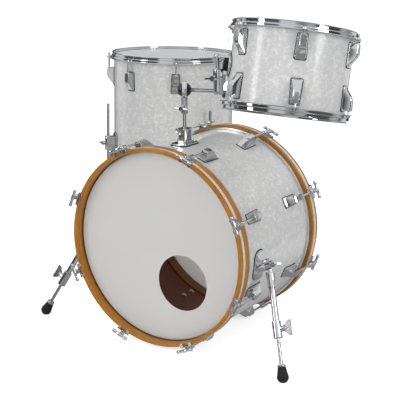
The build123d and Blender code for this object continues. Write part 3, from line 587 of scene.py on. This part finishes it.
# Thickness of the sheet, radius of its bends, and steps round the hoop
RIM_SHEET, RIM_BEND, RIM_STEPS = 0.0023, 0.0024, 360

# Out from the shell: upper wall and skirt, then the lip past the wall and the flange past the skirt
RIM_WALL, RIM_SKIRT, RIM_LIP, RIM_FLANGE = 0.0025, 0.0069, 0.0029, 0.0066

# From the shell's edge: up to the lip, up to the step, and down to the flange
RIM_UP, RIM_STEP, RIM_DOWN = 0.0110, 0.001, 0.0098

# Ears: radius round the rod, and cut; they grow from past the skirt, below the shell's edge
EAR_R, EAR_CUT, EAR_PAST, EAR_BELOW = 0.0085, 0.0008, 0.0016, 0.004


def bend(points, radius, steps=5):
    """Rounds the inner corners of an open line in a plane."""
    out = [Vector(points[0])]
    for a, b, c in zip(points, points[1:], points[2:]):
        a, b, c = Vector(a), Vector(b), Vector(c)
        u, v = (a - b).normalized(), (c - b).normalized()
        cut = min(radius, (a - b).length * 0.45, (c - b).length * 0.45)
        out += arc(b + u * cut, b, b + v * cut, steps)
    out.append(Vector(points[-1]))
    return out


def sheet_section(line, thick):
    """Closed section of a sheet of a thickness along a line, with round ends."""
    left, right = [], []
    for k, p in enumerate(line):
        way = (line[min(k + 1, len(line) - 1)] - line[max(k - 1, 0)]).normalized()
        side = Vector((-way.y, way.x)) * thick / 2
        left.append(p + side)
        right.append(p - side)
    first = (line[0] - line[1]).normalized() * thick / 2
    last = (line[-1] - line[-2]).normalized() * thick / 2
    return left + [line[-1] + last * 0.7] + right[::-1] + [line[0] + first * 0.7]


def rolled_hoop(name, node, frame_at, radius, edge, side, angles, body):
    """Flanged hoop pressed from sheet, with an ear at each tension rod."""
    half = RIM_SHEET / 2
    wall, skirt, rod = radius + RIM_WALL + half, radius + RIM_SKIRT + half, radius + TOM_ROD_OUT
    top, step, low = edge + RIM_UP - half, edge + RIM_STEP - half, edge - RIM_DOWN + half
    flange, root = skirt + RIM_FLANGE, skirt + EAR_PAST
    line = [(wall + RIM_LIP, top), (wall, top), (wall, step), (skirt, step), (skirt, low), (flange, low)]
    section = sheet_section(bend(line, RIM_BEND), RIM_SHEET)
    rings = []
    for k in range(RIM_STEPS):
        angle = 360 * k / RIM_STEPS
        way = math.radians(angle)
        near = math.radians(min(abs((angle - a + 180) % 360 - 180) for a in angles))
        aside, reach = rod * math.sin(near), flange
        if aside < EAR_R:
            reach = max(flange, rod * math.cos(near) + math.sqrt(EAR_R ** 2 - aside ** 2) - EAR_CUT)
        ring = []
        for p in section:
            far = p.x
            if far > root and p.y < edge - EAR_BELOW:
                far = root + (far - root) * (reach - root) / (flange - root)
            ring.append((far * math.sin(way), -far * math.cos(way), side * p.y))
        rings.append(ring)
    bm = bmesh.new()
    loops(bm, rings + rings[:1], frame_at, caps=False)
    piece(name, bm, body, "chrome", sharp=60.0, stands_for=(node,))


for side, word in ((1, "top"), (-1, "bottom")):
    rolled_hoop(f"tom_{word}_rim", f"tom_{word}_hoop", TOM, TOM_R, TOM_HALF, side, TOM_ANGLES, "rack_tom")
    rolled_hoop(f"floor_tom_{word}_rim", f"floor_tom_{word}_hoop", FLOOR, FLOOR_R, FLOOR_HALF, side,
                FLOOR_ANGLES, "floor_tom")


# T-handled rods and claws of the bass drum

# Claws: gap to the hoop, sheet, length, half widths at the face and tail, and place of the shoulder
CLAW_GAP, CLAW_SHEET, CLAW_LONG = 0.0003, 0.0028, 0.030
CLAW_WIDE, CLAW_TAIL, CLAW_SHOULDER = 0.0185, 0.0075, 0.007

# Hooks of the claws: inner and outer side, length down the hoop's face, and corner radius
HOOK_IN, HOOK_OUT, HOOK_LONG, HOOK_ROUND = 0.0090, 0.0192, 0.0088, 0.0048

# Half width of the web under the claw's boss, and how far it goes into the plate
WEB_WIDE, WEB_SINK = 0.005, 0.0004

# Rods: gap to the claw, collar, bar's place above it, and the rod's tip from the lug's middle
ROD_GAP, ROD_COLLAR, BAR_UP, ROD_TIP = 0.00015, 0.0014, 0.009, 0.003

# Half of the cross bar, radius and place, from its end to its middle
HALF_BAR = [(0.0014, 0.0250), (0.0038, 0.0246), (0.0048, 0.0234), (0.0050, 0.0190), (0.0046, 0.0178),
            (0.0042, 0.0166), (0.0040, 0.0080), (0.0048, 0.0055), (0.0051, 0.0)]

# The two lowest bars at the rear are level
LEVEL_TURN, LOW_SHARE = 22.5, 0.9


def t_rods():
    """Rods with stout cross handles, a little thicker at their ends and middle."""
    bm = bmesh.new()
    seat = BASS_END + CLAW_GAP + CLAW_SHEET + ROD_GAP
    head = seat + ROD_COLLAR
    bar = head + BAR_UP
    tip = BASS_HALF - BASS_LUG_BACK + ROD_TIP
    stem = [(0.0022, tip), (0.0028, tip + 0.001), (0.0028, seat), (0.0062, seat), (0.0065, seat + 0.0003),
            (0.0065, head - 0.0002), (0.0060, head), (0.0047, head + 0.0004), (0.0040, head + 0.003),
            (0.0040, bar - 0.004), (0.0044, bar)]
    whole_bar = HALF_BAR + [(r, -x) for r, x in HALF_BAR[::-1]][1:]
    for flip in (1, -1):
        for angle in BASS_ANGLES:
            at = BASS @ polar(angle, flip) @ move(z=BASS_R + BASS_ROD_OUT)
            turned(bm, at, stem)
            low = flip < 0 and math.cos(math.radians(angle)) > LOW_SHARE
            level = (LEVEL_TURN if angle < 180 else -LEVEL_TURN) if low else 0
            turned(bm, at @ move(bar) @ turn(level, "X") @ turn(90, "Z"), whole_bar)
    piece("bass_t_handles", bm, "bass_drum", "chrome", sharp=50.0, stands_for=("bass_t_rods",))


def claws():
    """Pressed plates over the hoops, with two short hooks down the hoop's face and a bored boss."""
    bm = bmesh.new()
    outer = BASS_R + HOOP_GAP + HOOP_THICK
    front, face = BASS_END + CLAW_GAP, BASS_END + CLAW_GAP + CLAW_SHEET
    low, high = outer + CLAW_GAP, outer + CLAW_GAP + CLAW_SHEET
    tail, rod = face - CLAW_LONG, BASS_R + BASS_ROD_OUT
    half_plan = [(face, CLAW_WIDE, 0.003), (face - CLAW_SHOULDER, CLAW_WIDE, 0.004), (tail, CLAW_TAIL, 0.003)]
    plan = rounded(half_plan + [(x, -y, r) for x, y, r in half_plan[::-1]], 3)
    hook = rounded([(HOOK_IN, high, 0.001), (HOOK_IN, outer - HOOK_LONG, HOOK_ROUND),
                    (HOOK_OUT, outer - HOOK_LONG, HOOK_ROUND), (HOOK_OUT, high, 0.001)], 4)
    boss = [(0.0034, tail), (0.0058, tail), (0.0066, tail + 0.0015), (0.0066, face - 0.0015),
            (0.0060, face), (0.0034, face)]
    web = [(tail, -WEB_WIDE), (face - 0.001, -WEB_WIDE), (face - 0.001, WEB_WIDE), (tail, WEB_WIDE)]
    for flip in (1, -1):
        for angle in BASS_ANGLES:
            at = BASS @ polar(angle, flip)
            loops(bm, [[(x, y, z) for x, y in plan] for z in (low, high)], at)
            for side in (1, -1):
                loops(bm, [[(x, side * y, z) for y, z in hook] for x in (front, face)], at)
            turned(bm, at @ move(z=rod), boss)
            loops(bm, [[(x, y, z) for x, y in web] for z in (high - WEB_SINK, rod)], at)
    piece("bass_claw_plates", bm, "bass_drum", "chrome", bevel=0.0006, sharp=38.0,
          stands_for=("bass_claws",))


t_rods()
claws()


# Spurs: twisted rods with their collars, fan-shaped wings, and sleeves on the tubes

# Pivot: angle round the drum, distance from the shell, place along the drum; feet on the floor
PIVOT_ANGLE, PIVOT_OUT, PIVOT_ALONG = 94.0, 0.031, -0.097
SPUR_FEET = {-1: Vector((-0.417, -0.173, 0)), 1: Vector((0.396, -0.221, 0))}
FOOT_UP = 0.012

# Twisted rod: its upper end from the pivot, steps, length of a whole twist, and radii round it
ROD_FROM, ROD_STEPS, ROD_PITCH, ROD_RADII = 0.112, 64, 0.085, (0.0048, 0.0046, 0.0043) * 4

# Collar on the rod: distance from the foot; radius and place
COLLAR_UP = 0.0243
COLLAR = [(0.0060, -0.007), (0.0098, -0.0066), (0.0105, -0.0055), (0.0105, -0.0042), (0.0097, -0.0036),
          (0.0105, -0.0030), (0.0105, -0.0012), (0.0098, -0.0002), (0.0060, 0.0)]

# Wing screw: place down the tube, place of its hub, tip; hub, radius and place; fan, x, y, radius
WING_DOWN, WING_HUB, WING_TIP, WING_HALF = 0.169, 0.01485, 0.0052, 0.0019
HUB = [(0.0030, 0.0), (0.0070, 0.0), (0.0070, 0.006), (0.0052, 0.010), (0.0030, 0.0115)]
FAN = [(0.003, 0.0060, 0.001), (0.003, -0.0060, 0.001), (0.0175, -0.0200, 0.003), (0.0250, -0.0190, 0.003),
       (0.0225, 0.0, 0.020), (0.0250, 0.0190, 0.003), (0.0175, 0.0200, 0.003)]

# Sleeve round the top of the tube, radius and place
SLEEVE = [(0.0080, 0.0205), (0.0118, 0.0205), (0.0124, 0.0215), (0.0120, 0.030), (0.0096, 0.056),
          (0.0102, 0.0575), (0.0102, 0.061), (0.0096, 0.0625), (0.0080, 0.0625)]


def spur_frame(side):
    """Frame of a spur at its pivot, with Z down the leg and X out along the bolt, and its foot's place."""
    a, reach = math.radians(PIVOT_ANGLE), BASS_R + PIVOT_OUT
    pivot = UPRIGHT @ Vector((side * reach * math.sin(a), PIVOT_ALONG, reach * math.cos(a)))
    foot = SHIFT + SPUR_FEET[side]
    leg = (foot - pivot).normalized()
    out = Vector((side, 0, 0))
    bolt = (out - leg * out.dot(leg)).normalized()
    frame_at = Matrix((bolt, leg.cross(bolt), leg)).transposed().to_4x4()
    return Matrix.Translation(pivot) @ frame_at, (foot - pivot).length + FOOT_UP / leg.z


def spur_pieces(word, side):
    """The three finer pieces of one spur."""
    at, foot = spur_frame(side)
    down = at @ turn(-90, "Y")
    bm = bmesh.new()
    rings = []
    for k in range(ROD_STEPS + 1):
        z = ROD_FROM + (foot - ROD_FROM) * k / ROD_STEPS
        twist = 2 * math.pi * (z - ROD_FROM) / ROD_PITCH
        ways = [twist + i * 2 * math.pi / len(ROD_RADII) for i in range(len(ROD_RADII))]
        rings.append([(r * math.cos(a), r * math.sin(a), z) for r, a in zip(ROD_RADII, ways)])
    loops(bm, rings, at)
    turned(bm, down, [(r, foot - COLLAR_UP + x) for r, x in COLLAR], 32)
    piece(f"spur_{word}_twist_rod", bm, f"spur_{word}_rod", "steel", sharp=50.0,
          stands_for=(f"spur_rod_{word}",))
    bm = bmesh.new()
    wing = at @ move(z=WING_DOWN)
    turned(bm, wing, [(HUB[0][0], WING_TIP)] + [(r, WING_HUB + x) for r, x in HUB])
    fan = rounded([(WING_HUB + x, y, r) for x, y, r in FAN])
    loops(bm, [[(x, y, z) for x, z in fan] for y in (-WING_HALF, WING_HALF)], wing)
    piece(f"spur_{word}_fan_wing", bm, f"spur_{word}_wing", "steel", bevel=0.0009, sharp=38.0,
          stands_for=(f"spur_wing_{word}",))
    bm = bmesh.new()
    turned(bm, down, SLEEVE, 32, ring=True)
    piece(f"spur_{word}_sleeve", bm, f"spur_{word}", "chrome", sharp=50.0)


for word, side in (("left", -1), ("right", 1)):
    spur_pieces(word, side)


# Other chrome nodes keep their shape and get small rounded edges

ROUNDED_NODES = ("spur_brackets", "holder_base", "holder_head", "holder_arm", "tom_bracket",
                 "floor_tom_leg_brackets", "tom_tension_rods", "floor_tom_tension_rods")
NODE_EDGE = 0.0007

for name in ROUNDED_NODES:
    round_edges(NODES[name], NODE_EDGE, weld=True)


# Camera, floor and light

# Light of the world, and glow and radius of the floor
WORLD_LIGHT, FLOOR_GLOW, STUDIO_R = 0.56, 0.62, 14.0

# Dim studio: radius of its near floor, radius of its wall, lift off the floor, step round it
NEAR_R, ROOM_R, ROOM_LIFT, ROOM_STEP = 1.6, 6.5, 0.002, 5
NEAR_ROOM = [(far, ROOM_LIFT) for far in (0.05, 0.4, 0.9, NEAR_R)]
FAR_ROOM = [(far, ROOM_LIFT) for far in (NEAR_R, 3.0, ROOM_R)] + [(ROOM_R, up) for up in (1.2, 2.4, 4.2)]

# Pale bands in it: direction, cycles and weight of each wave, and the level and soft edge of a band
STRIPES = (("x", 11.0, 0.15), ("y", 8.0, 0.15))
PANELS = (("round", 3.0, 0.20), ("round", 7.0, 0.12))
BAND_LEVEL, BAND_EDGE, BAND_TONE = 0.50, 0.16, 0.85

# Lamps: name, place, aim, size across and up, power, and whether polished surfaces show it
LAMPS = (("left", (-2.0, -3.5, 2.2), (0, 0, 0.5), (0.8, 2.2), 34, True),
         ("right", (4.1, -0.75, 2.2), (0, 0, 0.5), (1.2, 2.2), 58, True),
         ("front", (0.2, -4.2, 2.0), (0, 0, 0.4), (1.8, 1.8), 44, False),
         ("top", (-0.2, 0.0, 3.6), (-0.1, 0.1, 0.5), (2.4, 2.4), 24, False),
         ("back", (0.4, 3.2, 3.0), (0, 0, 0.5), (2.4, 2.4), 34, False))

camera = bpy.data.objects.new("camera", bpy.data.cameras.new("camera"))
camera.data.lens = CAMERA_LENS
camera.data.sensor_width = CAMERA_SENSOR
camera.data.clip_end = CAMERA_FAR
camera.location = CAMERA_AT
camera.rotation_euler = Euler([math.radians(a) for a in CAMERA_TURN])
bpy.context.scene.collection.objects.link(camera)
bpy.context.scene.camera = camera
bpy.context.scene.view_settings.view_transform = "Standard"


def seen_by_eye(tree):
    """One for camera, glossy and transmission rays, and nought for the light that bounces."""
    path = tree.nodes.new("ShaderNodeLightPath").outputs
    total = maths(tree, "MAXIMUM", path["Is Camera Ray"], path["Is Glossy Ray"])
    return maths(tree, "MAXIMUM", total, path["Is Transmission Ray"])


def white_world():
    """World that looks white and lights the object softly."""
    world = bpy.data.worlds.new("studio")
    bpy.context.scene.world = world
    world.use_nodes = True
    tree = world.node_tree
    soft = tree.nodes["Background"]
    seen = tree.nodes.new("ShaderNodeBackground")
    for node, strength in ((soft, WORLD_LIGHT), (seen, 1.0)):
        node.inputs["Color"].default_value = (1, 1, 1, 1)
        node.inputs["Strength"].default_value = strength
    blend = tree.nodes.new("ShaderNodeMixShader")
    for source, socket in zip((seen_by_eye(tree), soft.outputs[0], seen.outputs[0]), blend.inputs):
        tree.links.new(source, socket)
    tree.links.new(blend.outputs[0], tree.nodes["World Output"].inputs["Surface"])


def white_floor():
    """Round floor that looks white but for a pale shadow under the object."""
    bm = bmesh.new()
    bmesh.ops.create_circle(bm, cap_ends=True, segments=96, radius=STUDIO_R)
    mat, tree, shader = new_material("floor")
    surface(tree, shader, ramp(tree, noise(tree, coords(tree), 3.0), [(0.3, 0.80), (0.7, 0.82)]), 0.9,
            Specular_IOR_Level=0.0, Emission_Color=(1, 1, 1, 1))
    put(tree, maths(tree, "MULTIPLY", seen_by_eye(tree), FLOOR_GLOW), shader.inputs["Emission Strength"])
    in_scene("floor", bm, mat)


def room_part(name, outline, waves, base):
    """Part of the dim studio, spun from its outline, with pale bands, which only polished surfaces show."""
    bm = bmesh.new()
    ways = [math.radians(a) for a in range(0, 360, ROOM_STEP)]
    rings = [[(far * math.sin(a), -far * math.cos(a), height) for a in ways] for far, height in outline]
    loops(bm, rings, Matrix.Translation(SHIFT), caps=False)
    mat, tree, shader = new_material(name)
    place = parts_of(tree, coords(tree))
    sources = {"round": maths(tree, "ARCTAN2", place["X"], place["Y"]), "x": place["X"], "y": place["Y"]}
    total = 0.5
    for source, cycles, weight in waves:
        wave = maths(tree, "SINE", maths(tree, "MULTIPLY", sources[source], cycles))
        total = maths(tree, "MULTIPLY_ADD", wave, weight, total)
    pale = ramp(tree, total, [(BAND_LEVEL, 0.0), (BAND_LEVEL + BAND_EDGE, BAND_TONE - base)])
    shade = ramp(tree, maths(tree, "MULTIPLY", place["Z"], 0.25),
                 [(0.0, base), (0.12, 0.10), (0.5, 0.05), (1.0, 0.20)])
    shader.inputs["Base Color"].default_value = (0, 0, 0, 1)
    shader.inputs["Specular IOR Level"].default_value = 0.0
    shader.inputs["Emission Strength"].default_value = 1.0
    put(tree, mix(tree, 1.0, shade, pale, "ADD"), shader.inputs["Emission Color"])
    wall = in_scene(name, bm, mat)
    wall.visible_camera = wall.visible_diffuse = wall.visible_shadow = False
    wall.visible_transmission = wall.visible_volume_scatter = False


def lamp(name, at, aim, size, power, mirrored):
    """Soft area lamp, size across and up, which may be kept out of reflections."""
    data = bpy.data.lights.new(name, "AREA")
    data.shape = "RECTANGLE"
    data.size, data.size_y = size
    data.energy = power
    obj = bpy.data.objects.new(name, data)
    obj.location = at
    obj.rotation_euler = (Vector(aim) - Vector(at)).to_track_quat("-Z", "Y").to_euler()
    obj.visible_glossy = mirrored
    bpy.context.scene.collection.objects.link(obj)


white_world()
white_floor()
room_part("near_room", NEAR_ROOM, STRIPES, 0.34)
room_part("far_room", FAR_ROOM, PANELS, 0.13)
for settings in LAMPS:
    lamp(*settings)
